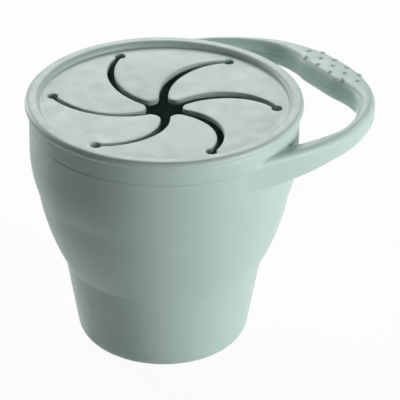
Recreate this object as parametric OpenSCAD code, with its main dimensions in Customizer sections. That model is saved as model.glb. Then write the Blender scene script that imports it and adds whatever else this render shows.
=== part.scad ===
// Toddler snack container: a soft cup that folds down in height, with a carrying loop on one side
// and a soft lid whose six curved petals let a small hand in and keep the snacks from spilling.
// Z is up, the origin is the middle of the flat underside, and the carrying loop points along +X.

/* [Cup] */
// Height of the cup's mouth above the table
cup_h = 91; // [85:1:100]
// Height of the lower fold line
low_fold_z = 31.5; // [29:0.5:34]
// Height of the upper fold line
high_fold_z = 60; // [56:0.5:64]
// Outer radius at the foot of the bottom tier
foot_r = 31.1; // [30:0.1:32]
// Outer radius at the lower fold line
low_fold_r = 35.4; // [34.5:0.1:36]
// Outer radius at the upper fold line
high_fold_r = 44.9; // [44:0.1:46]
// Outer radius of the straight band under the lid
mouth_r = 47.6; // [47.2:0.1:48]
// Height at which the top tier becomes straight
band_z = 75; // [72:1:78]
// Thickness of the top and bottom tiers
wall_t = 2.4; // [2:0.1:2.8]
// Thickness of the folding tier
fold_t = 2; // [1.6:0.1:2.4]
// How far the folding tier bulges past a straight cone
fold_bulge = 1.25; // [0.8:0.05:1.6]
// Thickness of the floor
floor_t = 3; // [2.4:0.1:4]
// Rounding of the outer bottom edge
foot_round = 5.8; // [4:0.1:7]

/* [Carrying loop] */
// Height of the loop's middle where it leaves the cup
loop_z = 83; // [82:0.1:84]
// How much lower the middle of the grip hangs
loop_drop = 1.7; // [0:0.1:2.5]
// Height of the loop's section
loop_h = 8.3; // [7.5:0.1:9]
// How much deeper the section is where the loop leaves the cup
loop_root_drop = 1.8; // [0:0.1:2.2]
// Rounding of the section's edges, seen from above
loop_round_x = 2.2; // [1.5:0.1:2.6]
// Rounding of the section's edges, seen from the end
loop_round_z = 3; // [2:0.1:3.6]
// Radius of one grip nub
nub_r = 1; // [0.8:0.1:1.4]
// Height of one grip nub
nub_h = 0.6; // [0.5:0.1:0.9]
// Spacing of the grip nubs along a row
nub_pitch = 7.3; // [6.5:0.1:7.5]

/* [Lid] */
// Outer radius of the lid's rolled lip
lip_r = 49; // [48.6:0.1:49.5]
// Thickness of the lip
lip_t = 3.2; // [2.8:0.1:3.6]
// Radius of the recess inside the lip
recess_r = 43.8; // [43.2:0.1:44.2]
// Depth of the membrane below the top of the lip
recess_depth = 2.05; // [1.9:0.05:2.4]
// Rounding of the lip's inner top edge
inner_round = 1.9; // [1:0.1:1.9]
// Thickness of the membrane and its petals
membrane_t = 2; // [1.6:0.1:2.2]
// Depth of the skirt that plugs into the mouth
skirt_h = 7; // [5:0.5:8]
// Gap between the skirt's sealing ribs and the wall
skirt_gap = 0.3; // [0.25:0.05:0.5]

/* [Petals] */
// Radius of the circle on which the slits end
hole_circle_r = 39.6; // [39:0.1:40]
// Radius of the round hole that ends each slit
hole_r = 1.85; // [1.7:0.05:1.95]
// Angle of the first slit's hole from the carrying loop
first_hole = 19.8; // [0:0.1:60]
// Radius of the arc along which a slit runs
slit_r = 23.4; // [23:0.1:23.8]
// Width of a slit at its hole
slit_w = 1.6; // [1.4:0.1:2]
// How far each edge of a slit turns away from the other as they near the middle, in degrees
slit_flare = 2; // [0:0.1:2.5]
// Rounding of a petal's tip
tip_r = 3.2; // [2.6:0.1:3.4]
// How far a petal hangs down at rest, in degrees
petal_droop = 4.5; // [0:0.5:6]

/* [Hidden] */
$fn = 96;
petals = 6;
sage = "#b5c9c0";
pale_sage = "#bfcfc9";
clear = 1;
far = 200;

lid_top_z = cup_h + lip_t;
membrane_z = lid_top_z - recess_depth;
hinge_z = membrane_z - membrane_t / 2;
root_r = membrane_t / 2;
root_gap = 0.3;
step_deg = 360 / petals;
chord_r = hole_circle_r * cos(step_deg / 2);
rib_r = 0.3;
nub_sink = 0.2;
// How far a petal's rounded tip stands proud of its edges, so that the arcs cross cleanly
tip_swell = 0.03;
skirt_t = 1.7;
skirt_r = mouth_r - wall_t - skirt_gap - rib_r;
// Where the skirt's sealing ribs sit, as shares of its depth
rib_at = [0.35, 0.7];

// The arc of a slit is centred on a point that turns back from its hole
slit_back = -33.5;
slit_centre_r = 24.6;

// Grip nubs: distance of each row from the cup's axis and how many nubs it has
nub_rows = [[70.6, 4], [74.5, 5], [78, 4]];

// Plan of one half of the loop: the outer and the inner edge at stations from the grip to the cup
loop_outer = [[80.7, 0], [79.8, 11], [76, 22], [69.8, 31.2], [61.6, 38.1], [52.4, 43.5], [43, 47],
    [32, 48.8], [20, 48.6], [8, 47.9], [-4, 46.2]];
loop_inner = [[67.4, 0], [67.4, 8], [68.2, 15.4], [67, 23.8], [62.3, 30.5], [55.6, 36.2], [47, 40.6],
    [36, 42], [26, 41.6], [14, 40], [2, 38]];
// Distance from the cup's axis at which the loop has dropped by loop_drop
drop_x = 80;
// Points that a smooth curve adds between two stations
loop_steps = 3;
// Points round one corner of the section
corner_steps = 3;

function polar(r, a) = [r * cos(a), r * sin(a)];
function unit(v) = v / norm(v);
function hole_angle(k) = first_hole + k * step_deg;
function slit_hole(k) = polar(hole_circle_r, hole_angle(k));
function turn(v, a) = [v[0] * cos(a) - v[1] * sin(a), v[0] * sin(a) + v[1] * cos(a)];
// Centre of one edge of slit k: side is -1 for the edge of its own petal and 1 for the petal before
function edge_centre(k, side) =
    slit_hole(k) + turn(polar(slit_centre_r, hole_angle(k) + slit_back) - slit_hole(k), side * slit_flare);

// Where two circles cross, on the left of the line from the first centre to the second
function crossing(c1, r1, c2, r2) =
    let (d = norm(c2 - c1), u = unit(c2 - c1), a = (d * d + r1 * r1 - r2 * r2) / (2 * d))
    c1 + a * u + sqrt(r1 * r1 - a * a) * [-u[1], u[0]];

// Centre of the arc that bulges by h to the right of the line from p up to q
function arc_radius(p, q, h) = (pow(norm(q - p) / 2, 2) + h * h) / (2 * h);
function arc_centre(p, q, h) =
    let (u = unit(q - p)) (p + q) / 2 - (arc_radius(p, q, h) - h) * [u[1], -u[0]];

// A smooth curve through the points of a list, which it mirrors at the list's start
function at(v, i) = i < 0 ? [v[-i][0], -v[-i][1]] : v[min(i, len(v) - 1)];
function between(a, b, c, d, t) =
    (2 * b + (c - a) * t + (2 * a - 5 * b + 4 * c - d) * t * t
    + (3 * b - a - 3 * c + d) * t * t * t) / 2;
function curve(v) = [for (i = [0 : len(v) - 2]) for (s = [0 : loop_steps - 1])
    between(at(v, i - 1), at(v, i), at(v, i + 1), at(v, i + 2), s / loop_steps), v[len(v) - 1]];
function flip(v) = [for (i = [len(v) - 1 : -1 : 1]) [v[i][0], -v[i][1]]];
function whole(v) = concat(flip(curve(v)), curve(v));

// Height of the loop's middle at a distance x from the cup's axis
function loop_middle(x) = loop_z - loop_drop * pow(x / drop_x, 2);

// How much deeper the loop's section is at a distance x: all of it at the cup, none from deep_x1 on
deep_x0 = 10;
deep_x1 = 45;
function smooth(t) = t * t * (3 - 2 * t);
function deeper(x) = loop_root_drop * (1 - smooth(max(0, min(1, (x - deep_x0) / (deep_x1 - deep_x0)))));

// One section of the loop: a rounded rectangle that stands on the line from an inner to an outer point
function section(inner, outer) =
    let (
        w = norm(outer - inner) / 2,
        u = unit(outer - inner),
        mid = (outer + inner) / 2,
        z = loop_middle(mid[0]),
        side = [[1, 1], [-1, 1], [-1, -1], [1, -1]]
    )
    [for (c = [0 : 3]) for (s = [0 : corner_steps])
        let (
            a = 90 * (c + s / corner_steps),
            x = side[c][0] * (w - loop_round_x) + loop_round_x * cos(a),
            y = side[c][1] * (loop_h / 2 - loop_round_z) + loop_round_z * sin(a)
                + min(0, side[c][1]) * deeper(mid[0])
        )
        [mid[0] + u[0] * x, mid[1] + u[1] * x, z + y]];

// Quads between neighbouring rings, split into triangles, and a cap at each end
function sweep_faces(rings, n) = concat(
    [for (i = [0 : rings - 2]) for (j = [0 : n - 1])
        let (a = i * n + j, b = i * n + (j + 1) % n) each [[a, b, b + n], [a, b + n, a + n]]],
    [[for (j = [n - 1 : -1 : 0]) j]],
    [[for (j = [0 : n - 1]) (rings - 1) * n + j]]);

// A band of the plane between two heights
module band(z0, z1) {
    translate([0, z0]) square([far, z1 - z0]);
}

// A ring wall whose outline is an arc bulging outwards from p up to q
module arc_wall(p, q, bulge, t) {
    r = arc_radius(p, q, bulge);
    rotate_extrude() intersection() {
        translate(arc_centre(p, q, bulge)) difference() {
            circle(r);
            circle(r - t);
        }
        band(p[1], q[1]);
    }
}

// Bottom tier: a straight taper with a rounded foot, closed by the floor
module base_cup() {
    rise = low_fold_z - foot_round;
    lean = (low_fold_r - foot_r) / rise;
    along = sqrt(1 + lean * lean);
    foot_x = foot_r - foot_round * along;
    inner_r = foot_r - wall_t * along;
    meet = [foot_x + foot_round / along, foot_round * (1 - lean / along)];
    color(sage) difference() {
        rotate_extrude() {
            square([foot_x, meet[1]]);
            intersection() {
                translate([foot_x, foot_round]) circle(foot_round);
                band(0, meet[1]);
            }
            polygon([[0, meet[1]], meet, [low_fold_r, low_fold_z], [0, low_fold_z]]);
        }
        rotate_extrude() polygon([
            [0, floor_t],
            [inner_r - lean * (foot_round - floor_t), floor_t],
            [inner_r + lean * (low_fold_z + clear - foot_round), low_fold_z + clear],
            [0, low_fold_z + clear]]);
    }
}

// Middle tier, the part that rolls inside out when the cup is pressed flat
module fold_wall() {
    color(sage) arc_wall([low_fold_r, low_fold_z], [high_fold_r, high_fold_z], fold_bulge, fold_t);
}

// Top tier: an arc that rises into the straight band under the lid
module upper_wall() {
    rise = band_z - high_fold_z;
    swell = mouth_r - high_fold_r;
    r = (rise * rise + swell * swell) / (2 * swell);
    color(sage) rotate_extrude() {
        intersection() {
            translate([mouth_r - r, band_z]) difference() {
                circle(r);
                circle(r - wall_t);
            }
            band(high_fold_z, band_z);
        }
        translate([mouth_r - wall_t, band_z]) square([wall_t, cup_h - band_z]);
    }
}

// Carrying loop: one sweep from the cup's side round the grip and back, trimmed to the cup's wall
module carry_loop() {
    outer = whole(loop_outer);
    inner = whole(loop_inner);
    rings = len(outer);
    n = 4 * (corner_steps + 1);
    color(sage) difference() {
        polyhedron([for (i = [0 : rings - 1]) each section(inner[i], outer[i])], sweep_faces(rings, n));
        translate([0, 0, band_z]) cylinder(r = mouth_r, h = cup_h - band_z);
    }
}

// Small domes on the grip, in three rows that are set half a pitch apart
module grip_nubs() {
    dome_r = (nub_r * nub_r + nub_h * nub_h) / (2 * nub_h);
    color(sage) for (row = nub_rows) for (i = [0 : row[1] - 1]) {
        top = loop_middle(row[0]) + loop_h / 2;
        translate([row[0], (i - (row[1] - 1) / 2) * nub_pitch, top]) intersection() {
            translate([0, 0, nub_h - dome_r]) sphere(dome_r);
            translate([0, 0, -nub_sink]) cylinder(r = far, h = far);
        }
    }
}

// Round holes at the outer ends of the slits
module slit_holes() {
    for (k = [0 : petals - 1]) {
        translate(slit_hole(k)) translate([0, 0, hinge_z - membrane_t])
            cylinder(r = hole_r, h = 2 * membrane_t);
    }
}

// Lid: rolled lip on the cup's rim, skirt with two sealing ribs inside the mouth, and flat membrane
module lid_ring() {
    edge = lip_t / 2;
    color(pale_sage) difference() {
        rotate_extrude() {
            translate([lip_r - edge, cup_h + edge]) circle(edge);
            translate([recess_r + inner_round, cup_h]) square([lip_r - edge - recess_r - inner_round, lip_t]);
            translate([recess_r + inner_round, lid_top_z - inner_round]) intersection() {
                circle(inner_round);
                translate([-inner_round, 0]) square(inner_round);
            }
            translate([recess_r, cup_h]) square([inner_round + clear, lip_t - inner_round]);
            translate([skirt_r - skirt_t, cup_h - skirt_h]) square([skirt_t, skirt_h]);
            translate([recess_r, cup_h - clear]) square([skirt_r - recess_r, clear]);
            for (z = rib_at) {
                translate([skirt_r, cup_h - z * skirt_h]) circle(rib_r);
            }
            translate([0, membrane_z - membrane_t]) square([recess_r + clear, membrane_t]);
        }
        rotate(first_hole) translate([0, 0, hinge_z - membrane_t])
            cylinder(r = (chord_r + root_r + root_gap) / cos(step_deg / 2), h = 2 * membrane_t, $fn = petals);
        slit_holes();
    }
}

// Flat outline of petal k, which reaches past its root: inside the next slit's arc and outside its own
module petal_outline(k) {
    edge = slit_w / 2;
    own = edge_centre(k, -1);
    next = edge_centre(k + 1, 1);
    tip = crossing(own, slit_r + edge + tip_r, next, slit_r - edge - tip_r);
    own_side = tip + tip_r * unit(own - tip);
    next_side = tip + tip_r * unit(tip - next);
    across = clear * unit(own_side - next_side);
    inward = -far * unit(tip);
    difference() {
        translate(next) circle(slit_r - edge);
        translate(own) circle(slit_r + edge);
        polygon([own_side + across, next_side - across, next_side - across + inward,
            own_side + across + inward]);
    }
    translate(tip) circle(tip_r + tip_swell);
}

// Petal k, hanging a little: a sheet with a half-round root that turns beside the membrane's straight edge
module petal(k) {
    middle = hole_angle(k + 0.5);
    hinge = polar(chord_r, middle);
    root_end = hole_circle_r * sin(step_deg / 2);
    color(pale_sage) difference() {
        translate([hinge[0], hinge[1], hinge_z]) rotate(middle) rotate([0, -petal_droop, 0]) intersection() {
            translate([0, far, 0]) rotate([90, 0, 0]) linear_extrude(far + root_end) {
                circle(root_r);
                translate([-far, -root_r]) square([far, membrane_t]);
            }
            rotate(-middle) translate([-hinge[0], -hinge[1], -membrane_t])
                linear_extrude(2 * membrane_t) petal_outline(k);
        }
        slit_holes();
    }
}

base_cup();
fold_wall();
upper_wall();
carry_loop();
grip_nubs();
lid_ring();
for (k = [0 : petals - 1]) {
    petal(k);
}
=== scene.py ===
# %% [markdown]
# # A folding snack cup in soft silicone
#
# The real thing is two soft mouldings. One is a cup whose wall folds down in three tiers, with a
# carrying loop on one side. The other is a lid whose thin top is slit into six curved petals, so
# that a small hand gets in and the snacks stay in. Every piece here is built in metres, in the same
# frame as the solid model: Z is up, the underside's middle is the origin and the loop points to +X.

# %% Load the frame
import math

import bmesh
import bpy
import numpy as np
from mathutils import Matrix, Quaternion, Vector
from mathutils.geometry import delaunay_2d_cdt


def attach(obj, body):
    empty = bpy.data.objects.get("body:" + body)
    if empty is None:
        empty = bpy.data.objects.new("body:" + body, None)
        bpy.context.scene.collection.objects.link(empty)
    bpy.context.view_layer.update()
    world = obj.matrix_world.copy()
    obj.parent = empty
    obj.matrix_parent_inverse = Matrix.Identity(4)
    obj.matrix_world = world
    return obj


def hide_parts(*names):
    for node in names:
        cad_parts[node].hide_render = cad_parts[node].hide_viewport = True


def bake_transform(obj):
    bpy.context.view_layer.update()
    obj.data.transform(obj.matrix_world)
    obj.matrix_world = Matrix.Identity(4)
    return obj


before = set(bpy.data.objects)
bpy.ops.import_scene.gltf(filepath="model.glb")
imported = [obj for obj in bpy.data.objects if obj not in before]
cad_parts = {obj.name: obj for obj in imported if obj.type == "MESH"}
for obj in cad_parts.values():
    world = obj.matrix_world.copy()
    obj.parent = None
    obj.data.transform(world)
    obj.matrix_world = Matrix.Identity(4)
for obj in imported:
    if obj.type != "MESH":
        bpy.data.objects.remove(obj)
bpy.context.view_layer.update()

# %% [markdown]
# ## Small tools
#
# Sizes are easiest to think of in millimetres, so points are worked out in millimetres and become
# metres only when a mesh is made. Colours are written as the hex values that a screen shows, and
# one function turns them into the linear numbers that a renderer adds up. One more function adds a
# node with its settings and its links, which keeps every node tree short to read.

# %% Units, colour, nodes and meshes
MM = 0.001


def screen_colour(hex_code):
    """A hex colour, as a screen shows it, as linear red, green, blue and alpha."""
    parts = [int(hex_code[i:i + 2], 16) / 255 for i in (1, 3, 5)]
    linear = [p / 12.92 if p <= 0.04045 else ((p + 0.055) / 1.055) ** 2.4 for p in parts]
    return (*linear, 1.0)


def add_node(tree, kind, sockets=None, **settings):
    """Adds a node. sockets maps an input's name or number to a value or to a socket to link."""
    node = tree.nodes.new(kind)
    for name, value in settings.items():
        setattr(node, name, value)
    for key, value in (sockets or {}).items():
        if isinstance(value, bpy.types.NodeSocket):
            tree.links.new(value, node.inputs[key])
        else:
            node.inputs[key].default_value = value
    return node


def mesh_piece(name, points_mm, faces, edges=()):
    """A new object from points in millimetres."""
    mesh = bpy.data.meshes.new(name)
    mesh.from_pydata((np.asarray(points_mm, float) * MM).tolist(), list(edges), faces)
    piece = bpy.data.objects.new(name, mesh)
    bpy.context.scene.collection.objects.link(piece)
    return piece


def close_up(piece, crease_deg=50):
    """Welds doubles, points the faces outwards and shades the piece smooth, except at real corners."""
    work = bmesh.new()
    work.from_mesh(piece.data)
    bmesh.ops.remove_doubles(work, verts=work.verts, dist=0.002 * MM)
    bmesh.ops.recalc_face_normals(work, faces=work.faces)
    open_edges = sum(not e.is_manifold for e in work.edges)
    work.to_mesh(piece.data)
    work.free()
    piece.data.shade_smooth()
    piece.data.set_sharp_from_angle(angle=math.radians(crease_deg))
    faces = len(piece.data.polygons)
    print(piece.name, "faces", faces, "open edges", open_edges, "volume side", outward(piece))
    return piece


def outward(piece):
    """True if the mesh encloses a positive volume, which means that its faces point outwards."""
    work = bmesh.new()
    work.from_mesh(piece.data)
    volume = work.calc_volume(signed=True)
    work.free()
    return volume > 0


print("a mid sage", [round(c, 3) for c in screen_colour("#b5c9c0")])

# %% [markdown]
# ## The camera
#
# The camera stands where the photographer's did, a little under a metre away, in front of the cup
# and to the left of the loop, and looks down at it. A long lens keeps the rings of the cup close to
# true ellipses. It aims at one point near the cup's axis and is rolled by less than a degree.

# %% Place the camera
CAMERA_AT = Vector((-0.45467, -0.66652, 0.50891))
AIM_AT = Vector((0.010596, -0.007480, 0.052869))
ROLL = 0.014809

camera_data = bpy.data.cameras.new("camera")
camera_data.lens = 232.70
camera_data.sensor_width = 36
camera_data.clip_end = 20
camera = bpy.data.objects.new("camera", camera_data)
camera.location = CAMERA_AT
camera.rotation_mode = "QUATERNION"
camera.rotation_quaternion = (AIM_AT - CAMERA_AT).to_track_quat("-Z", "Y") @ Quaternion((0, 0, 1), ROLL)
bpy.context.scene.collection.objects.link(camera)
bpy.context.scene.camera = camera
print("camera distance", round((AIM_AT - CAMERA_AT).length, 3), "m")

# %% [markdown]
# ## The silicone
#
# Both mouldings are platinum-cured silicone rubber from a steel mould that was finely blasted, so
# the surface is matt and a little silky. Light goes a millimetre or two into it, which softens
# small edges. Its tint is even, with faint cloudy patches where hands and dust have been. The grain
# of a blasted mould is about 0.1 mm, too fine for this view, so it is drawn at 0.45 mm.

# %% Make the silicone
GRAIN_MM = 0.45
CLOUD_MM = 14
SILICONE_IOR = 1.41


def silicone(name, tint, cloudy_tint):
    """Matt moulded silicone: an even tint with faint clouds, a fine grain and a soft sheen."""
    material = bpy.data.materials.new(name)
    material.use_nodes = True
    tree = material.node_tree
    tree.nodes.clear()
    place = add_node(tree, "ShaderNodeTexCoord").outputs["Object"]
    clouds = add_node(tree, "ShaderNodeTexNoise", {
        "Vector": place, "Scale": 1 / (CLOUD_MM * MM), "Detail": 4.0, "Roughness": 0.55})
    tone = add_node(tree, "ShaderNodeMix", {
        "Factor": clouds.outputs["Fac"], 6: screen_colour(tint), 7: screen_colour(cloudy_tint)},
        data_type="RGBA")
    smudges = add_node(tree, "ShaderNodeTexNoise", {
        "Vector": place, "Scale": 1 / (0.4 * CLOUD_MM * MM), "Detail": 3.0, "Roughness": 0.6})
    gloss = add_node(tree, "ShaderNodeMapRange", {
        "Value": smudges.outputs["Fac"], "From Min": 0.3, "From Max": 0.7, "To Min": 0.4, "To Max": 0.5})
    grain = add_node(tree, "ShaderNodeTexNoise", {
        "Vector": place, "Scale": 1 / (GRAIN_MM * MM), "Detail": 2.0, "Roughness": 0.5})
    bump = add_node(tree, "ShaderNodeBump", {
        "Height": grain.outputs["Fac"], "Strength": 0.06, "Distance": 0.15 * MM})
    shader = add_node(tree, "ShaderNodeBsdfPrincipled", {
        "Base Color": tone.outputs[2], "Roughness": gloss.outputs["Result"], "Normal": bump.outputs["Normal"],
        "IOR": SILICONE_IOR, "Subsurface Weight": 0.2, "Subsurface Scale": 1.2 * MM,
        "Subsurface Radius": (1.0, 1.1, 1.0)})
    add_node(tree, "ShaderNodeOutputMaterial", {"Surface": shader.outputs["BSDF"]})
    return material


cup_silicone = silicone("moulded_silicone_cup", "#b4cbc3", "#bacfc8")
lid_silicone = silicone("moulded_silicone_lid", "#b6c9c3", "#bccec9")
print("materials", cup_silicone.name, lid_silicone.name)

# %% [markdown]
# ## A wall turned round the cup's axis
#
# The cup and the rim of the lid are rings: one outline, the same all the way round. They could be
# spun point by point, or lathed with a Screw modifier. A Geometry Nodes tree is used here, since it
# states the idea directly: a circle is the path, and the outline is swept along it. The outline is
# drawn in code as a row of points, and each point's distance from the axis is measured from the
# path circle. Doubles at the axis are merged, so that a floor closes in one clean point.

# %% The turning tree
PATH_R = 40
ROUND_STEPS = 192


def turning_tree():
    """A tree that sweeps an outline round a circle and closes it at the axis."""
    tree = bpy.data.node_groups.new("turn_round_axis", "GeometryNodeTree")
    tree.interface.new_socket("Outline", in_out="INPUT", socket_type="NodeSocketGeometry")
    tree.interface.new_socket("Path radius", in_out="INPUT", socket_type="NodeSocketFloat")
    tree.interface.new_socket("Steps round", in_out="INPUT", socket_type="NodeSocketInt")
    tree.interface.new_socket("Finish", in_out="INPUT", socket_type="NodeSocketMaterial")
    tree.interface.new_socket("Wall", in_out="OUTPUT", socket_type="NodeSocketGeometry")
    given = add_node(tree, "NodeGroupInput").outputs
    outline = add_node(tree, "GeometryNodeMeshToCurve", {"Mesh": given["Outline"]})
    circle = add_node(tree, "GeometryNodeCurvePrimitiveCircle", {
        "Resolution": given["Steps round"], "Radius": given["Path radius"]}, mode="RADIUS")
    upright = add_node(tree, "GeometryNodeSetCurveNormal", {"Curve": circle.outputs["Curve"]}, mode="Z_UP")
    swept = add_node(tree, "GeometryNodeCurveToMesh", {
        "Curve": upright.outputs["Curve"], "Profile Curve": outline.outputs["Curve"]})
    merged = add_node(tree, "GeometryNodeMergeByDistance", {
        "Geometry": swept.outputs["Mesh"], "Distance": 0.002 * MM})
    real = add_node(tree, "GeometryNodeRealizeInstances", {"Geometry": merged.outputs["Geometry"]})
    dressed = add_node(tree, "GeometryNodeSetMaterial", {
        "Geometry": real.outputs["Geometry"], "Material": given["Finish"]})
    add_node(tree, "NodeGroupOutput", {"Wall": dressed.outputs["Geometry"]})
    return tree


def grow(piece, tree, **inputs):
    """Runs a tree on a piece, with its named inputs, and returns the result as a plain mesh object."""
    modifier = piece.modifiers.new("grow", "NODES")
    modifier.node_group = tree
    for item in tree.interface.items_tree:
        key = item.name.replace(" ", "_").lower()
        if item.in_out == "INPUT" and key in inputs:
            modifier[item.identifier] = inputs[key]
    piece.update_tag()
    shown = piece.evaluated_get(bpy.context.evaluated_depsgraph_get())
    mesh = bpy.data.meshes.new_from_object(shown)
    piece.modifiers.remove(modifier)
    piece.data = mesh
    return piece


def turn_wall(name, outline_mm, material):
    """A ring wall from an outline of (distance from the axis, height) in millimetres."""
    points = [(r - PATH_R, -z, 0) for r, z in outline_mm]
    edges = [(i, i + 1) for i in range(len(points) - 1)]
    piece = mesh_piece(name, points, [], edges)
    return grow(piece, turning, path_radius=PATH_R * MM, steps_round=ROUND_STEPS, finish=material)


turning = turning_tree()
print("tree", turning.name, "inputs", [i.name for i in turning.interface.items_tree if i.in_out == "INPUT"])

# %% [markdown]
# ## The cup's outline
#
# From the table up, the outer side is a straight taper on a rounded foot, an arc that bulges a
# little, and an arc that rises into a straight band. Two creases part the tiers: there the wall
# folds. A real mould has no knife edges, so the outline is averaged over a short length, which
# rounds each crease. The inner side is the same line, moved in by the wall's thickness, which is
# least in the tier that rolls inside out.

# %% Draw the cup's outline
FOOT_R, LOW_FOLD, HIGH_FOLD = 31.1, (35.4, 31.5), (44.9, 60.0)
FOOT_ROUND, FLOOR_T, BAND_R, BAND_Z, RIM_Z = 5.8, 3.0, 47.6, 75.0, 91.0
WALL_T, FOLD_T, BULGE, CREASE_ROUND = 2.4, 2.0, 1.25, 0.9
SEAM_Z, SEAM_DEPTH, SEAM_HALF, SEAM_SPAN = 84.8, 0.32, 0.17, 0.5
FOOT_MIDDLE_Z, FOOT_SPAN, FLOOR_ROUND = 1.7, 1.5, 2.0
LEAST_STEP, MOST_STEP, STEP_GROWTH = 0.14, 1.3, 0.35


def arc_between(p, q, bulge, steps):
    """Points from p to q on an arc that bulges away from the axis."""
    p, q = np.array(p), np.array(q)
    along = q - p
    half = np.hypot(*along) / 2
    radius = (half ** 2 + bulge ** 2) / (2 * bulge)
    out = np.array([along[1], -along[0]]) / (2 * half)
    centre = (p + q) / 2 - out * (radius - bulge)
    start = math.atan2(*(p - centre)[::-1])
    end = math.atan2(*(q - centre)[::-1])
    turn = np.linspace(start, end, steps)
    return centre + radius * np.stack([np.cos(turn), np.sin(turn)], 1)


def outer_side():
    """The outer side with sharp creases, as many close points from the foot to the rim."""
    lean = (LOW_FOLD[0] - FOOT_R) / (LOW_FOLD[1] - FOOT_ROUND)
    foot_x = FOOT_R - FOOT_ROUND * math.hypot(1, lean)
    turn = np.linspace(-math.pi / 2, -math.atan(lean), 60)
    foot = np.stack([foot_x + FOOT_ROUND * np.cos(turn), FOOT_ROUND + FOOT_ROUND * np.sin(turn)], 1)
    taper = np.linspace(foot[-1], LOW_FOLD, 300)
    middle = arc_between(LOW_FOLD, HIGH_FOLD, BULGE, 300)
    rise, swell = BAND_Z - HIGH_FOLD[1], BAND_R - HIGH_FOLD[0]
    big = (rise ** 2 + swell ** 2) / (2 * swell)
    heights = np.linspace(HIGH_FOLD[1], BAND_Z, 200)
    upper = np.stack([BAND_R - big + np.sqrt(big ** 2 - (BAND_Z - heights) ** 2), heights], 1)
    band = np.linspace((BAND_R, BAND_Z), (BAND_R, RIM_Z - 0.4), 200)
    return np.concatenate([foot, taper[1:], middle[1:], upper[1:], band[1:]])


def stations(length_at, total):
    """Where points go along the line: close together at the creases and the seam, further apart between."""
    marks = []
    here = 0.0
    while here < total:
        marks.append(here)
        near = min(abs(here - c) - w for c, w in length_at)
        here += min(MOST_STEP, max(LEAST_STEP, LEAST_STEP + STEP_GROWTH * near))
    return np.array(marks + [total])


def cup_outline():
    """The whole outline, from the middle of the underside over the rim to the middle of the floor."""
    sharp = outer_side()
    length = np.concatenate([[0], np.cumsum(np.hypot(*np.diff(sharp, axis=0).T))])
    total = length[-1]
    heights = sharp[:, 1]
    marks = [(np.interp(z, heights, length), w) for z, w in (
        (LOW_FOLD[1], CREASE_ROUND), (HIGH_FOLD[1], CREASE_ROUND), (SEAM_Z, SEAM_SPAN),
        (FOOT_MIDDLE_Z, FOOT_SPAN))]
    s = stations(marks, total)
    spread = np.linspace(-1, 1, 9) * CREASE_ROUND
    reach = np.minimum(np.minimum(s, total - s) / CREASE_ROUND, 1)
    window = s[:, None] + spread[None, :] * reach[:, None]
    outer = np.stack([np.interp(window, length, sharp[:, i]).mean(1) for i in (0, 1)], 1)
    slope = np.gradient(outer, s, axis=0)
    normal = np.stack([slope[:, 1], -slope[:, 0]], 1)
    normal /= np.hypot(*normal.T)[:, None]
    fold = np.clip(np.minimum(outer[:, 1] - LOW_FOLD[1], HIGH_FOLD[1] - outer[:, 1]) / 2, 0, 1)
    thick = WALL_T + (FOLD_T - WALL_T) * fold
    inner = (outer - normal * thick[:, None])[outer[:, 1] > FLOOR_T + 3.5][::-1]
    groove = SEAM_DEPTH * np.exp(-((outer[:, 1] - SEAM_Z) / SEAM_HALF) ** 2)
    outer[:, 0] -= groove
    rim = [(BAND_R - 0.12, RIM_Z - 0.12), (BAND_R - 0.4, RIM_Z), (BAND_R - 1.2, RIM_Z),
        (BAND_R - WALL_T + 0.4, RIM_Z), (BAND_R - WALL_T + 0.12, RIM_Z - 0.12)]
    last = inner[-1]
    turn = np.linspace(0, -math.pi / 2, 7)
    corner_r = last[0] - FLOOR_ROUND - 0.35
    corner = [(corner_r + FLOOR_ROUND * math.cos(a), FLOOR_T + FLOOR_ROUND + FLOOR_ROUND * math.sin(a))
        for a in turn]
    under = [(0, 0), (8, 0), (16, 0), (22, 0)]
    floor = [(24, FLOOR_T), (16, FLOOR_T), (8, FLOOR_T), (0, FLOOR_T)]
    return [*under, *outer.tolist(), *rim, *inner.tolist(), *corner, *floor]


outline = cup_outline()
print("outline points", len(outline), "widest", round(max(p[0] for p in outline), 2), "mm")

# %% [markdown]
# ## The cup
#
# The cup is one moulding, so it is one mesh here, though the solid model keeps its three tiers
# apart. When the real cup folds down, its middle tier rolls inside out.

# %% Turn the cup
cup = turn_wall("cup_wall", outline, cup_silicone)
close_up(cup)
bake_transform(cup)
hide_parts("base_cup", "fold_wall", "upper_wall")

# %% [markdown]
# ## The carrying loop
#
# The loop is a flat band with soft edges, broad at the grip, with its inner top edge rounded the
# most. Its arms get deeper towards the cup and leave the cup's side almost flush, with a soft web
# below. A swept tube would meet the wall in a hard line, and rounding that line by hand is slow. So
# the loop is described by a distance: each point of space knows how far it is from the loop and from
# the wall, and blending the two distances gives the web. The surface is then drawn where the blend is
# zero, as a net of small squares, and each corner of the net is pulled exactly onto it.

# %% The loop's two edges, seen from above
LOOP_OUTER = [(80.7, 0), (79.8, 11), (76, 22), (69.8, 31.2), (61.6, 38.1), (52.4, 43.5), (43, 47),
    (32, 48.8), (20, 48.6), (12, 47.9), (4, 47.6), (-5, 47), (-14, 44.9)]
LOOP_INNER = [(67.4, 0), (67.4, 8), (68.2, 15.4), (67, 23.8), (62.3, 30.5), (55.6, 36.2), (47, 40.6),
    (36, 42), (26, 41.6), (14, 40), (2, 38), (-10, 35.5)]
LOOP_Z, LOOP_DROP, DROP_X, LOOP_H = 83.0, 1.7, 80.0, 8.3
ROUND_OUTSIDE, ROUND_INSIDE, CROWN, CROWN_REACH = (1.9, 2.3), (3.0, 3.3), 0.35, 5.0
ROOT_DROP, DEEP_X, LEVEL_X = 2.9, 12.0, 44.0
LOOP_STEPS = 6


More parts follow.
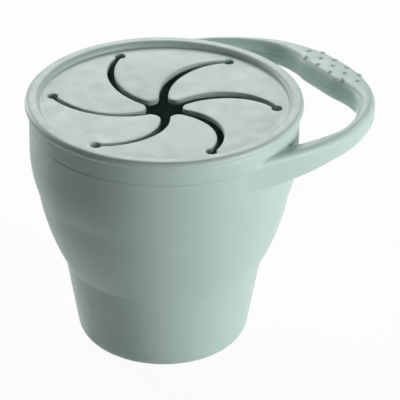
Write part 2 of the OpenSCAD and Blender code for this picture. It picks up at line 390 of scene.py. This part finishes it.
def smooth_line(stops, steps):
    """A smooth curve through the stops and their mirror images, from one end of the loop to the other."""
    half = np.array(stops, float)
    whole = np.concatenate([half[:0:-1] * (1, -1), half])
    padded = np.concatenate([whole[:1], whole, whole[-1:]])
    points = []
    for a, b, c, d in zip(padded[:-3], padded[1:-2], padded[2:-1], padded[3:]):
        for t in np.arange(steps) / steps:
            points.append((2 * b + (c - a) * t + (2 * a - 5 * b + 4 * c - d) * t ** 2
                + (3 * b - a - 3 * c + d) * t ** 3) / 2)
    return np.array([*points, whole[-1]])


def plan_distance(xy, ring):
    """Distance from points to a closed ring, seen from above, less than zero inside it."""
    a, b = ring, np.roll(ring, -1, 0)
    best = np.full(len(xy), np.inf)
    inside = np.zeros(len(xy), bool)
    for p, q in zip(a, b):
        way = q - p
        t = np.clip(((xy - p) @ way) / (way @ way), 0, 1)
        best = np.minimum(best, ((xy - p - t[:, None] * way) ** 2).sum(1))
        crosses = (p[1] > xy[:, 1]) != (q[1] > xy[:, 1])
        if way[1]:
            inside ^= crosses & (xy[:, 0] < p[0] + (xy[:, 1] - p[1]) / way[1] * way[0])
    return np.sqrt(best) * np.where(inside, -1, 1)


def loop_middle(x):
    """Height of the band's middle at a distance x from the cup's axis."""
    return LOOP_Z - LOOP_DROP * (x / DROP_X) ** 2


opening_ring = smooth_line(LOOP_INNER, LOOP_STEPS)
loop_ring = np.concatenate([smooth_line(LOOP_OUTER, LOOP_STEPS), opening_ring[::-1]])


def loop_plan(xy):
    """Distance from the loop, seen from above, and whether its inner edge is the nearer one."""
    u = plan_distance(xy, loop_ring)
    return u, np.abs(plan_distance(xy, opening_ring)) < np.abs(u) + 0.001


print("points round the loop", len(loop_ring), "width at the grip", LOOP_OUTER[0][0] - LOOP_INNER[0][0], "mm")

# %% [markdown]
# ### The blend of loop and wall
#
# The section is a box with elliptical corners and a slightly crowned top. The web is wide under the
# arm, where the photograph shows it fade into the cup, and narrow above it. It grows from nothing
# where the arm comes out of the wall. Before that place the loop's end lies hidden, deeper than the
# seam's groove, so that the seam runs on up to the arm. Beside the arm the blended surface dips under
# the wall's face by a few thousandths of a millimetre, so that only the cup's own wall shows there,
# and it ends inside the wall's thickness.

# %% Distance to the loop with its web
WEB_BELOW, WEB_ABOVE, WEB_LEAST, WEB_SINK = 3.6, 1.3, 0.05, 0.006
WEB_FROM_X, WEB_FULL_X, WEB_TURN = 2.0, 24.0, 2.0
HIDDEN_X, SHOWN_X, HIDDEN_SINK = -1.0, 4.0, 0.4
WALL_REACH, DIP, DIP_FROM, DIP_LENGTH = 1.3, 2.0, 0.2, 1.5
NEAR_LEAST, DEEP_INSIDE = 0.05, -1.9


def eased(share):
    """A smooth step from 0 to 1."""
    share = np.clip(share, 0, 1)
    return share * share * (3 - 2 * share)


def arm_distance(u, inner, v, deeper):
    """Distance to the band's section. u is the distance in plan and v the height over its middle."""
    across = np.clip(-u / CROWN_REACH, 0, 1)
    half = LOOP_H / 2 + np.where(v > 0, CROWN * across * (2 - across), deeper)
    broad = inner & (v > 0)
    round_x, round_z = (np.where(broad, a, b) for a, b in zip(ROUND_INSIDE, ROUND_OUTSIDE))
    x = np.maximum(u + round_x, 0)
    z = np.maximum(np.abs(v) - (half - round_z), 0)
    near = np.hypot(x / round_x, z / round_z)
    steep = np.hypot(x / round_x ** 2, z / round_z ** 2)
    return np.where(near < NEAR_LEAST, DEEP_INSIDE, near * (near - 1) / np.maximum(steep, 1e-6))


def loop_field(points, plan):
    """Less than zero inside the loop and its web. plan is what loop_plan says of the points."""
    x, y, z = points.T
    v = z - loop_middle(x)
    arm = arm_distance(*plan, v, ROOT_DROP * eased((LEVEL_X - x) / (LEVEL_X - DEEP_X)))
    web = WEB_BELOW + (WEB_ABOVE - WEB_BELOW) * eased((v + WEB_TURN) / (2 * WEB_TURN))
    web = np.maximum(web * eased((x - WEB_FROM_X) / (WEB_FULL_X - WEB_FROM_X)), WEB_LEAST)
    fade = np.clip((arm - web - DIP_FROM) / DIP_LENGTH, 0, 1)
    from_axis = np.hypot(x, y)
    sink = WEB_SINK + HIDDEN_SINK * eased((SHOWN_X - x) / (SHOWN_X - HIDDEN_X))
    wall = from_axis - (BAND_R - sink - DIP * fade * fade)
    mix = np.maximum(web - np.abs(arm - wall), 0) / web
    blended = np.minimum(arm, wall) - mix * mix * web / 4
    return np.maximum(blended, BAND_R - WALL_REACH - from_axis)


probe = np.array([[74.0, 0, loop_middle(74) + z] for z in (0, 4, 5)])
print("field at the grip", np.round(loop_field(probe, loop_plan(probe[:, :2])), 2))

# %% [markdown]
# ### A net of small squares on the surface
#
# Space is cut into cells 0.6 mm wide. Each cell that the surface passes through gets one point, and
# neighbouring points are joined into squares. Where two sheets of the surface would touch along a
# line, a corner of the grid is filled first, which parts them. Two rounds of evening out, each
# followed by a pull onto the true surface, leave a mesh that is smooth enough to catch a highlight
# cleanly.

# %% Net the surface
NET_STEP, FILLED = 0.6, -0.01
NET_LOW, NET_HIGH = np.array((-20.0, -54.0, 72.0)), np.array((83.0, 54.0, 91.0))
CELL = [(i, j, k) for i in (0, 1) for j in (0, 1) for k in (0, 1)]


def without_pinches(values):
    """Fills corners of the grid where two sheets of the surface would touch along a line."""
    pinches = True
    while pinches:
        pinches = False
        for pair in ((0, 1), (0, 2), (1, 2)):
            side = np.moveaxis(values, pair, (0, 1))
            a, b, c, d = side[:-1, :-1], side[1:, :-1], side[:-1, 1:], side[1:, 1:]
            for p, q, r, s in ((a, d, b, c), (b, c, a, d)):
                crossed = (p < 0) & (q < 0) & (r >= 0) & (s >= 0)
                pinches |= bool(crossed.any())
                r[crossed] = FILLED
    return values


def net_of(values):
    """Points, in cells, and squares of the surface where a grid of values crosses zero."""
    size = np.array(values.shape) - 1
    total, count = np.zeros((*size, 3)), np.zeros(size)
    block = {c: values[c[0]:c[0] + size[0], c[1]:c[1] + size[1], c[2]:c[2] + size[2]] for c in CELL}
    for a in CELL:
        for b in CELL:
            if a < b and sum(abs(p - q) for p, q in zip(a, b)) == 1:
                cut = (block[a] < 0) != (block[b] < 0)
                share = block[a][cut] / (block[a][cut] - block[b][cut])
                total[cut] += np.array(a) + share[:, None] * (np.array(b) - np.array(a))
                count[cut] += 1
    number = np.full(size, -1)
    used = count > 0
    number[used] = np.arange(used.sum())
    points = total[used] / count[used][:, None] + np.argwhere(used)
    squares = []
    for axis in range(3):
        j, k = (axis + 1) % 3, (axis + 2) % 3
        low, high = np.moveaxis(values, axis, 0)[:-1] < 0, np.moveaxis(values, axis, 0)[1:] < 0
        for cell in np.argwhere(np.moveaxis(low != high, 0, axis)):
            if min(cell[j], cell[k]) < 1 or cell[j] >= size[j] or cell[k] >= size[k]:
                continue
            step_j, step_k = np.eye(3, dtype=int)[j], np.eye(3, dtype=int)[k]
            squares.append([number[tuple(c)] for c in (
                cell - step_j - step_k, cell - step_k, cell, cell - step_j)])
    return points, squares


def pull(points, rounds=3, tiny=0.02):
    """Moves points onto the loop's surface, along its slope."""
    for _ in range(rounds):
        u, inner = loop_plan(points[:, :2])
        here = loop_field(points, (u, inner))
        slope = np.stack([
            (loop_field(points + d, (plan_distance((points + d)[:, :2], loop_ring), inner)) - here) / tiny
            for d in np.eye(3) * tiny], 1)
        step = here[:, None] * slope / np.maximum((slope ** 2).sum(1), 0.05)[:, None]
        points = points - np.clip(step, -0.3, 0.3)
    return points


def even_out(points, squares, rounds):
    """Moves each point towards the middle of its neighbours."""
    pairs = np.array([(q[i], q[(i + 1) % 4]) for q in squares for i in range(4)])
    pairs = np.concatenate([pairs, pairs[:, ::-1]])
    amount = np.bincount(pairs[:, 0], minlength=len(points))[:, None]
    for _ in range(rounds):
        total = np.stack([np.bincount(pairs[:, 0], points[pairs[:, 1], i], len(points)) for i in range(3)], 1)
        points = points + 0.5 * (total / amount - points)
    return points


grid = [np.arange(low, high, NET_STEP) for low, high in zip(NET_LOW, NET_HIGH)]
flat_x, flat_y = np.meshgrid(grid[0], grid[1], indexing="ij")
plan = loop_plan(np.stack([flat_x.ravel(), flat_y.ravel()], 1))
layers = [loop_field(np.stack([flat_x.ravel(), flat_y.ravel(), np.full(flat_x.size, z)], 1), plan)
    for z in grid[2]]
values = np.stack(layers, 1).reshape(*flat_x.shape, len(grid[2]))
net, squares = net_of(without_pinches(values))
net = net * NET_STEP + NET_LOW
for _ in range(2):
    net = pull(even_out(net, squares, 2))
loop = mesh_piece("carry_loop_band", net, squares)
close_up(loop)
loop.data.materials.append(cup_silicone)
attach(loop, "upper")
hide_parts("carry_loop")

# %% [markdown]
# ### The mould's parting line
#
# Where the two halves of the steel mould meet, the silicone keeps a hair-thin raised line. In the
# photograph it shows as a light thread half way up the loop's inner side. It follows a path, so a
# tree sweeps a tiny round section along that path.

# %% Sweep the parting line
LINE_R = 0.24


def thread_tree():
    """A tree that sweeps a round thread along the edges it is given."""
    tree = bpy.data.node_groups.new("thread_along_edge", "GeometryNodeTree")
    tree.interface.new_socket("Path", in_out="INPUT", socket_type="NodeSocketGeometry")
    tree.interface.new_socket("Thread radius", in_out="INPUT", socket_type="NodeSocketFloat")
    tree.interface.new_socket("Finish", in_out="INPUT", socket_type="NodeSocketMaterial")
    tree.interface.new_socket("Thread", in_out="OUTPUT", socket_type="NodeSocketGeometry")
    given = add_node(tree, "NodeGroupInput").outputs
    path = add_node(tree, "GeometryNodeMeshToCurve", {"Mesh": given["Path"]})
    section = add_node(tree, "GeometryNodeCurvePrimitiveCircle", {
        "Resolution": 8, "Radius": given["Thread radius"]}, mode="RADIUS")
    swept = add_node(tree, "GeometryNodeCurveToMesh", {
        "Curve": path.outputs["Curve"], "Profile Curve": section.outputs["Curve"], "Fill Caps": True})
    real = add_node(tree, "GeometryNodeRealizeInstances", {"Geometry": swept.outputs["Mesh"]})
    dressed = add_node(tree, "GeometryNodeSetMaterial", {
        "Geometry": real.outputs["Geometry"], "Material": given["Finish"]})
    add_node(tree, "NodeGroupOutput", {"Thread": dressed.outputs["Geometry"]})
    return tree


inner_edge = smooth_line(LOOP_INNER, 8)
inner_edge = inner_edge[np.hypot(*inner_edge.T) > BAND_R + 0.6]
heights = loop_middle(inner_edge[:, 0])
line = mesh_piece("loop_parting_line", np.column_stack([inner_edge, heights]), [],
    [(i, i + 1) for i in range(len(inner_edge) - 1)])
grow(line, thread_tree(), thread_radius=LINE_R * MM, finish=cup_silicone)
close_up(line)
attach(line, "upper")

# %% [markdown]
# ## Grip nubs
#
# Thirteen small domes stand on the grip in three rows, set half a spacing apart, so that a wet hand
# doesn't slip. They are all the same, so one dome is made in the tree and placed on thirteen points.
# Each point lies on the loop's own surface, found by stepping down to it, and the dome's foot flares
# out so that it grows out of the grip.

# %% Place the nubs
NUB_H, NUB_FOOT, NUB_SUNK, NUB_PITCH = 0.6, 1.35, 0.06, 7.3
NUB_ROWS = [(70.6, 4), (74.5, 5), (78.0, 4)]


def grip_height(x, y):
    """Height of the loop's top face at a place, in millimetres."""
    plan = loop_plan(np.array([[x, y]]))
    low, high = loop_middle(x) + 1, loop_middle(x) + 8
    for _ in range(30):
        middle = (low + high) / 2
        if loop_field(np.array([[x, y, middle]]), plan)[0] < 0:
            low = middle
        else:
            high = middle
    return low


def nub_tree():
    """A tree that puts one flared dome on every point."""
    tree = bpy.data.node_groups.new("nubs_on_points", "GeometryNodeTree")
    tree.interface.new_socket("Places", in_out="INPUT", socket_type="NodeSocketGeometry")
    tree.interface.new_socket("Foot radius", in_out="INPUT", socket_type="NodeSocketFloat")
    tree.interface.new_socket("Dome height", in_out="INPUT", socket_type="NodeSocketFloat")
    tree.interface.new_socket("Sunk by", in_out="INPUT", socket_type="NodeSocketFloat")
    tree.interface.new_socket("Finish", in_out="INPUT", socket_type="NodeSocketMaterial")
    tree.interface.new_socket("Nubs", in_out="OUTPUT", socket_type="NodeSocketGeometry")
    given = add_node(tree, "NodeGroupInput").outputs
    cone = add_node(tree, "GeometryNodeMeshCone", {
        "Vertices": 28, "Side Segments": 12, "Radius Top": 0.0, "Radius Bottom": given["Foot radius"],
        "Depth": given["Dome height"]})
    place = add_node(tree, "GeometryNodeInputPosition").outputs["Position"]
    parts = add_node(tree, "ShaderNodeSeparateXYZ", {0: place}).outputs
    level = add_node(tree, "ShaderNodeMath", {0: parts["Z"], 1: given["Dome height"]}, operation="DIVIDE")
    bend = add_node(tree, "ShaderNodeMath", {0: level.outputs[0], 1: math.pi / 2}, operation="MULTIPLY")
    swell = add_node(tree, "ShaderNodeMath", {0: bend.outputs[0]}, operation="SINE")
    square = add_node(tree, "ShaderNodeMath", {0: swell.outputs[0], 1: 2.0}, operation="POWER")
    height = add_node(tree, "ShaderNodeMath", {0: square.outputs[0], 1: given["Dome height"]},
        operation="MULTIPLY")
    lowered = add_node(tree, "ShaderNodeMath", {0: height.outputs[0], 1: given["Sunk by"]},
        operation="SUBTRACT")
    shape = add_node(tree, "ShaderNodeCombineXYZ", {0: parts["X"], 1: parts["Y"], 2: lowered.outputs[0]})
    dome = add_node(tree, "GeometryNodeSetPosition", {
        "Geometry": cone.outputs["Mesh"], "Position": shape.outputs[0]})
    placed = add_node(tree, "GeometryNodeInstanceOnPoints", {
        "Points": given["Places"], "Instance": dome.outputs["Geometry"]})
    real = add_node(tree, "GeometryNodeRealizeInstances", {"Geometry": placed.outputs["Instances"]})
    dressed = add_node(tree, "GeometryNodeSetMaterial", {
        "Geometry": real.outputs["Geometry"], "Material": given["Finish"]})
    add_node(tree, "NodeGroupOutput", {"Nubs": dressed.outputs["Geometry"]})
    return tree


places = []
for row_x, row_count in NUB_ROWS:
    for i in range(row_count):
        row_y = (i - (row_count - 1) / 2) * NUB_PITCH
        places.append((row_x, row_y, grip_height(row_x, row_y)))
nubs = mesh_piece("grip_nub_domes", places, [])
grow(nubs, nub_tree(), foot_radius=NUB_FOOT * MM, dome_height=NUB_H * MM, sunk_by=NUB_SUNK * MM,
    finish=cup_silicone)
close_up(nubs)
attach(nubs, "upper")
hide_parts("grip_nubs")

# %% [markdown]
# ## The lid's slits
#
# Six slits curl in from round holes near the rim to the open middle. Each edge of a slit is an arc
# of a circle, and the two edges part slightly as they near the middle. All the sizes are worked out
# for one petal, in a frame whose X axis runs from the lid's middle through the petal's root, and
# the others are that petal turned by sixty degrees. An inset moves every free edge into the
# material, which is how the rounded edges are made, but never the straight root.

# %% Edges of one petal
PETALS, HOLE_RING, HOLE_R, FIRST_HOLE = 6, 39.6, 1.85, 19.8
SLIT_R, SLIT_W, SLIT_FLARE, TIP_R = 23.4, 1.6, 2.0, 3.2
SLIT_BACK, SLIT_CENTRE_R = -33.5, 24.6
HALF_STEP = 180 / PETALS
ROOT_X = HOLE_RING * math.cos(math.radians(HALF_STEP))
ROOT_Y = HOLE_RING * math.sin(math.radians(HALF_STEP))


def turned(v, degrees):
    a = math.radians(degrees)
    return np.array([v[0] * math.cos(a) - v[1] * math.sin(a), v[0] * math.sin(a) + v[1] * math.cos(a)])


def heading(v):
    return math.atan2(v[1], v[0])


def arc_from(centre, radius, start, end, steps):
    """Points on a circle from one angle to another, in radians, without the last."""
    turn = start + (end - start) * np.arange(steps) / steps
    return np.array(centre) + radius * np.stack([np.cos(turn), np.sin(turn)], 1)


RIGHT_HOLE = np.array((ROOT_X, -ROOT_Y))
LEFT_HOLE = np.array((ROOT_X, ROOT_Y))
OWN = RIGHT_HOLE + turned(turned((SLIT_CENTRE_R, 0), SLIT_BACK - HALF_STEP) - RIGHT_HOLE, -SLIT_FLARE)
NEXT = LEFT_HOLE + turned(turned((SLIT_CENTRE_R, 0), SLIT_BACK + HALF_STEP) - LEFT_HOLE, SLIT_FLARE)
OWN_R, NEXT_R = SLIT_R + SLIT_W / 2, SLIT_R - SLIT_W / 2


def crossing(c1, r1, c2, r2, side=1):
    """Where two circles cross, on the left of the way from the first centre to the second."""
    way = c2 - c1
    d = np.hypot(*way)
    u = way / d
    a = (d * d + r1 * r1 - r2 * r2) / (2 * d)
    return c1 + a * u + side * math.sqrt(r1 * r1 - a * a) * np.array([-u[1], u[0]])


TIP = crossing(OWN, OWN_R + TIP_R, NEXT, NEXT_R - TIP_R)


def root_right(inset):
    """Where a petal's own edge crosses the straight root."""
    radius = OWN_R + inset
    return np.array((ROOT_X, OWN[1] + math.sqrt(radius ** 2 - (ROOT_X - OWN[0]) ** 2)))


def petal_edge(inset):
    """A petal's outline, from the right of its root round the tip to the left of its root and back."""
    right = root_right(inset)
    own_end = TIP + (TIP_R - inset) * (OWN - TIP) / np.hypot(*(OWN - TIP))
    tip_end = TIP + (TIP_R - inset) * (TIP - NEXT) / np.hypot(*(TIP - NEXT))
    left = nearest_cross(NEXT, NEXT_R - inset, LEFT_HOLE, HOLE_R + inset)
    start = heading(right - OWN)
    own = arc_from(OWN, OWN_R + inset, start, unwound(heading(own_end - OWN), start), 44)
    start, end = heading(own_end - TIP), heading(tip_end - TIP)
    tip = arc_from(TIP, TIP_R - inset, start, start + (end - start) % (-2 * math.pi), 14)
    start = heading(tip_end - NEXT)
    following = arc_from(NEXT, NEXT_R - inset, start, unwound(heading(left - NEXT), start), 40)
    start = heading(left - LEFT_HOLE)
    hole = arc_from(LEFT_HOLE, HOLE_R + inset, start, start + ((-math.pi / 2 - start) % (2 * math.pi)), 6)
    corner = np.array((ROOT_X, ROOT_Y - HOLE_R - inset))
    root = corner + (right - corner) * (np.arange(24) / 24)[:, None]
    return np.concatenate([own, tip, following, hole, root])


def unwound(angle, near):
    """The same angle, less than half a turn from another one."""
    return near + (angle - near + math.pi) % (2 * math.pi) - math.pi


def nearest_cross(c1, r1, c2, r2):
    """Of the two crossings, the one that lies nearer to the lid's middle."""
    return min((crossing(c1, r1, c2, r2, side) for side in (1, -1)), key=lambda p: np.hypot(*p))


def opening_edge(inset):
    """One sixth of the edge of the lid's opening: round a hole, along its slit and down the root."""
    right = root_right(inset)
    meet = max((crossing(OWN, OWN_R + inset, RIGHT_HOLE, HOLE_R + inset, side) for side in (1, -1)),
        key=lambda p: p[1])
    start = math.radians(-180 + HALF_STEP)
    end = start + (heading(meet - RIGHT_HOLE) - start) % (2 * math.pi)
    hole = arc_from(RIGHT_HOLE, HOLE_R + inset, start, end, 20)
    slit = arc_from(OWN, OWN_R + inset, heading(meet - OWN), heading(right - OWN), 10)
    corner = np.array((ROOT_X, ROOT_Y - HOLE_R - inset))
    root = right + (corner - right) * (np.arange(24) / 24)[:, None]
    return np.concatenate([hole, slit, root])


tip_gap = round(float(np.hypot(*TIP)) - TIP_R, 2)
print("petal tip from the middle", tip_gap, "mm, root", round(ROOT_X, 2), "mm out")

# %% [markdown]
# ## Sheets with rounded edges
#
# A slit cut in a mould has softly rounded lips, and they catch the light along every petal. Each
# sheet is a stack of outlines: flat bottom, a quarter round, the upright wall, a quarter round and
# the flat top. The flats are filled with triangles over a lattice of points, close enough for the
# petals to bend.

# %% Stack outlines and fill the flats
TOP_Z, SHEET_T, LIP_ROUND = 92.15, 2.0, 0.38
ROUND_TURNS = np.radians((0, 22.5, 45, 67.5, 90))


def sheet_levels():
    """(inset, height) of each outline, from the bottom flat to the top flat."""
    top = [(LIP_ROUND * (1 - math.cos(a)), TOP_Z - LIP_ROUND * (1 - math.sin(a))) for a in ROUND_TURNS]
    bottom = [(inset, 2 * TOP_Z - SHEET_T - z) for inset, z in top]
    return bottom[::-1] + top


def in_ring(xy, ring):
    return plan_distance(np.atleast_2d(xy), ring) < 0


def fill_flat(rings, inside, extra=()):
    """Triangles over the flat between closed rings. inside says if a middle point belongs to the flat."""
    points, edges = [], []
    for ring in rings:
        first = len(points)
        points += [tuple(p) for p in ring]
        edges += [(first + i, first + (i + 1) % len(ring)) for i in range(len(ring))]
    points += [tuple(p) for p in extra]
    found, _, faces, *_ = delaunay_2d_cdt([Vector(p) for p in points], edges, [], 0, 1e-7)
    assert len(found) == len(points)
    middles = np.array([[sum(points[i][c] for i in f) / 3 for c in (0, 1)] for f in faces])
    keep = inside(middles)
    return points, [list(f) for f, k in zip(faces, keep) if k]


def stack_rings(levels, edge_at):
    """Points and squares of the walls between outlines at each level."""
    points, squares = [], []
    for number, (inset, z) in enumerate(levels):
        ring = edge_at(inset)
        points += [(x, y, z) for x, y in ring]
        n = len(ring)
        if number:
            low = (number - 1) * n
            squares += [[low + i, low + (i + 1) % n, low + n + (i + 1) % n, low + n + i] for i in range(n)]
    return points, squares


levels = sheet_levels()
print("outlines in a sheet", len(levels), "edge points of a petal", len(petal_edge(0)))

# %% [markdown]
# ## The petals
#
# A petal hangs a little under its own weight, so it starts level at its root and leans down towards
# the tip.

# %% Make the petals
SAG_DEG, SAG_START, BEND_LENGTH, LATTICE = 5.2, 7.0, 10.0, 1.4


def sag(x):
    """How far a petal hangs at a distance x from the lid's middle."""
    along = np.maximum(ROOT_X - x, 0)
    return math.tan(math.radians(SAG_DEG)) * (np.hypot(along, SAG_START) - SAG_START)


def petal_points():
    """All points and faces of one petal, in its own frame."""
    points, faces = stack_rings(levels, petal_edge)
    flat = petal_edge(LIP_ROUND)
    xs, ys = np.meshgrid(np.arange(2, ROOT_X, LATTICE * 0.87), np.arange(-24, 24, LATTICE), indexing="ij")
    ys = ys + (np.arange(len(xs)) % 2)[:, None] * LATTICE / 2
    lattice = np.stack([xs.ravel(), ys.ravel()], 1)
    lattice = lattice[plan_distance(lattice, flat) < -0.6]
    filled, triangles = fill_flat([flat], lambda p: in_ring(p, flat), lattice)
    for z in (levels[0][1], levels[-1][1]):
        first = len(points)
        points += [(x, y, z) for x, y in filled]
        faces += [[first + i for i in t] for t in triangles]
    points = np.array(points)
    points[:, 2] -= sag(points[:, 0])
    return points, faces


petal_mesh, petal_faces = petal_points()
for k in range(PETALS):
    angle = math.radians(FIRST_HOLE + (2 * k + 1) * HALF_STEP)
    c, s = math.cos(angle), math.sin(angle)
    placed = petal_mesh @ np.array([[c, s, 0], [-s, c, 0], [0, 0, 1]])
    petal = mesh_piece(f"lid_petal_{k + 1}", placed, petal_faces)
    close_up(petal)
    petal.data.materials.append(lid_silicone)
    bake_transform(petal)
    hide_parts(f"petal_{k + 1}")

# %% [markdown]
# ## The lid's ring
#
# Round the petals lies a flat sheet, then a broad rounded lip that rests on the cup's rim, and below
# it a skirt that plugs the mouth with two small sealing ribs. The lip and skirt are one outline,
# turned by the same tree as the cup. The flat sheet has the shape of the opening, so it is filled
# as the petals are, and the two are welded at a circle where their points match.

# %% Make the ring
SHEET_R, RECESS_R, LIP_TOP, LIP_R, LIP_T, INNER_ROUND = 42.2, 43.8, 94.2, 49.0, 3.2, 1.9
SKIRT_R, SKIRT_T, SKIRT_LOW, SKIRT_ROUND = 44.6, 1.7, 84.0, 0.5
RIBS_AT, RIB_R, RIB_SUNK, RIB_HALF = (0.35, 0.7), 0.3, 0.05, 0.45
CREASE_R, UNDER_R = 0.15, 0.45


def sweep_of(centre, radii, start, end, steps):
    """Points on an ellipse's arc, by angles in degrees."""
    turn = np.radians(np.linspace(start, end, steps))
    return [(centre[0] + radii[0] * math.cos(a), centre[1] + radii[1] * math.sin(a)) for a in turn]


def ring_outline():
    """The lip and skirt, from the sheet's top face round the lip to the sheet's underside."""
    edge = LIP_T / 2
    crease_z = TOP_Z + CREASE_R
    crease = sweep_of((RECESS_R - CREASE_R, crease_z), (CREASE_R, CREASE_R), -90, 0, 4)
    inside = sweep_of((RECESS_R + INNER_ROUND, crease_z), (INNER_ROUND, LIP_TOP - crease_z), 180, 90, 12)
    outside = sweep_of((LIP_R - edge, LIP_TOP - edge), (edge, edge), 90, -90, 18)
    down = [(BAND_R - 0.6, RIM_Z), (46.0, RIM_Z), (SKIRT_R + 0.3, RIM_Z), (SKIRT_R + 0.08, RIM_Z - 0.08)]
    side = [(SKIRT_R, RIM_Z - 0.3)]
    for share in RIBS_AT:
        rib_z = RIM_Z - share * (RIM_Z - SKIRT_LOW)
        side += sweep_of((SKIRT_R - RIB_SUNK, rib_z), (RIB_R + RIB_SUNK, RIB_HALF), 90, -90, 9)
    inner_r = SKIRT_R - SKIRT_T
    round_z = SKIRT_LOW + SKIRT_ROUND
    foot = [*sweep_of((SKIRT_R - SKIRT_ROUND, round_z), (SKIRT_ROUND, SKIRT_ROUND), 0, -90, 5),
        *sweep_of((inner_r + SKIRT_ROUND, round_z), (SKIRT_ROUND, SKIRT_ROUND), -90, -180, 5)]
    low = TOP_Z - SHEET_T
    corner = sweep_of((inner_r - UNDER_R, low - UNDER_R), (UNDER_R, UNDER_R), 0, 90, 5)
    return [(SHEET_R, TOP_Z), *crease, *inside[1:], (46.5, LIP_TOP), *outside, *down, *side, *foot,
        (inner_r, low - 2), (inner_r, low - 0.5), *corner, (SHEET_R, low)]


def opening_at(inset):
    """The whole edge of the opening, in the lid's own frame."""
    sixth = opening_edge(inset)
    angles = [FIRST_HOLE + (2 * k + 1) * HALF_STEP for k in range(PETALS)]
    return np.concatenate([[turned(p, angle) for p in sixth] for angle in angles])


points, faces = stack_rings(levels, opening_at)
flat = opening_at(LIP_ROUND)
circle = arc_from((0, 0), SHEET_R, 0, 2 * math.pi, ROUND_STEPS)
filled, triangles = fill_flat([flat, circle], lambda p: (np.hypot(*p.T) < SHEET_R) & ~in_ring(p, flat))
for z in (levels[0][1], levels[-1][1]):
    first = len(points)
    points += [(x, y, z) for x, y in filled]
    faces += [[first + i for i in t] for t in triangles]
sheet = mesh_piece("lid_sheet", points, faces)
ring = turn_wall("lid_ring_body", ring_outline(), lid_silicone)
both = bmesh.new()
both.from_mesh(ring.data)
both.from_mesh(sheet.data)
both.to_mesh(ring.data)
both.free()
bpy.data.objects.remove(sheet)
close_up(ring)
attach(ring, "lid")
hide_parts("lid_ring")

# %% [markdown]
# ## Floor and light
#
# The photograph is a studio picture on white. The brightest light stands low on the right, a softer
# one behind the cup shines across the lid, and two narrow ones behind it on the left draw the bright
# edge there, while the front left stays in shade. The floor is white and keeps the cup's soft
# shadow. Rays that go straight to the camera, or are mirrored, see white, so the background is white
# without any more light on the cup.

# %% Floor, world and lamps
CAMERA_TURN = -34.3
WHITE_SHARE, FLOOR_HALF, WORLD_LEAST = 0.94, 4000, 0.03
LAMP_DISTANCE = 0.9


def stand_round(azimuth, elevation, distance):
    """A place round the cup: azimuth 0 is at the camera, and it grows to the right."""
    a, e = math.radians(CAMERA_TURN + azimuth), math.radians(elevation)
    middle = Vector((0.01, 0, 0.05))
    return middle + distance * Vector((math.sin(a) * math.cos(e), -math.cos(a) * math.cos(e), math.sin(e)))


def softbox(name, azimuth, elevation, distance, wide, tall, watts):
    """A soft rectangular lamp that faces the cup."""
    data = bpy.data.lights.new(name, "AREA")
    data.shape = "RECTANGLE"
    data.size, data.size_y, data.energy = wide, tall, watts
    lamp = bpy.data.objects.new(name, data)
    lamp.location = stand_round(azimuth, elevation, distance)
    lamp.rotation_mode = "QUATERNION"
    lamp.rotation_quaternion = (Vector((0.01, 0, 0.05)) - lamp.location).to_track_quat("-Z", "Y")
    bpy.context.scene.collection.objects.link(lamp)
    return lamp


def seen_white(tree):
    """1 for rays from the camera and for mirrored rays, else 0."""
    rays = add_node(tree, "ShaderNodeLightPath").outputs
    first = add_node(tree, "ShaderNodeMath", {0: rays["Is Camera Ray"], 1: rays["Is Glossy Ray"]},
        operation="MAXIMUM")
    return add_node(tree, "ShaderNodeMath", {0: first.outputs[0], 1: rays["Is Transmission Ray"]},
        operation="MAXIMUM").outputs[0]


def white_floor():
    """A white floor whose shadow stays, mixed with plain white for the rays that show it."""
    material = bpy.data.materials.new("studio_floor")
    material.use_nodes = True
    tree = material.node_tree
    tree.nodes.clear()
    matt = add_node(tree, "ShaderNodeBsdfDiffuse", {"Color": (0.86, 0.86, 0.86, 1)})
    white = add_node(tree, "ShaderNodeEmission", {"Color": (1, 1, 1, 1), "Strength": 1.0})
    share = add_node(tree, "ShaderNodeMath", {0: seen_white(tree), 1: WHITE_SHARE}, operation="MULTIPLY")
    shown = add_node(tree, "ShaderNodeMixShader", {
        0: share.outputs[0], 1: matt.outputs[0], 2: white.outputs[0]})
    add_node(tree, "ShaderNodeOutputMaterial", {"Surface": shown.outputs[0]})
    return material


corners = [(x * FLOOR_HALF, y * FLOOR_HALF, 0) for x, y in ((-1, -1), (1, -1), (1, 1), (-1, 1))]
floor = mesh_piece("floor", corners, [[0, 1, 2, 3]])
floor.data.materials.append(white_floor())

world = bpy.data.worlds.new("studio")
bpy.context.scene.world = world
world.use_nodes = True
sky = world.node_tree
sky.nodes.clear()
glow = add_node(sky, "ShaderNodeMapRange", {"Value": seen_white(sky), "To Min": WORLD_LEAST, "To Max": 1.0})
backdrop = add_node(sky, "ShaderNodeBackground", {"Color": (1, 1, 1, 1), "Strength": glow.outputs["Result"]})
add_node(sky, "ShaderNodeOutputWorld", {"Surface": backdrop.outputs[0]})

softbox("right_light", 60, 8, LAMP_DISTANCE, 0.4, 0.4, 7.0)
softbox("back_light", 180, 35, LAMP_DISTANCE, 0.4, 0.4, 4.0)
softbox("left_edge_light", -135, 10, LAMP_DISTANCE, 0.15, 0.6, 3.0)
softbox("left_back_light", -135, 30, LAMP_DISTANCE, 0.15, 0.5, 1.8)
bpy.context.scene.view_settings.view_transform = "Standard"
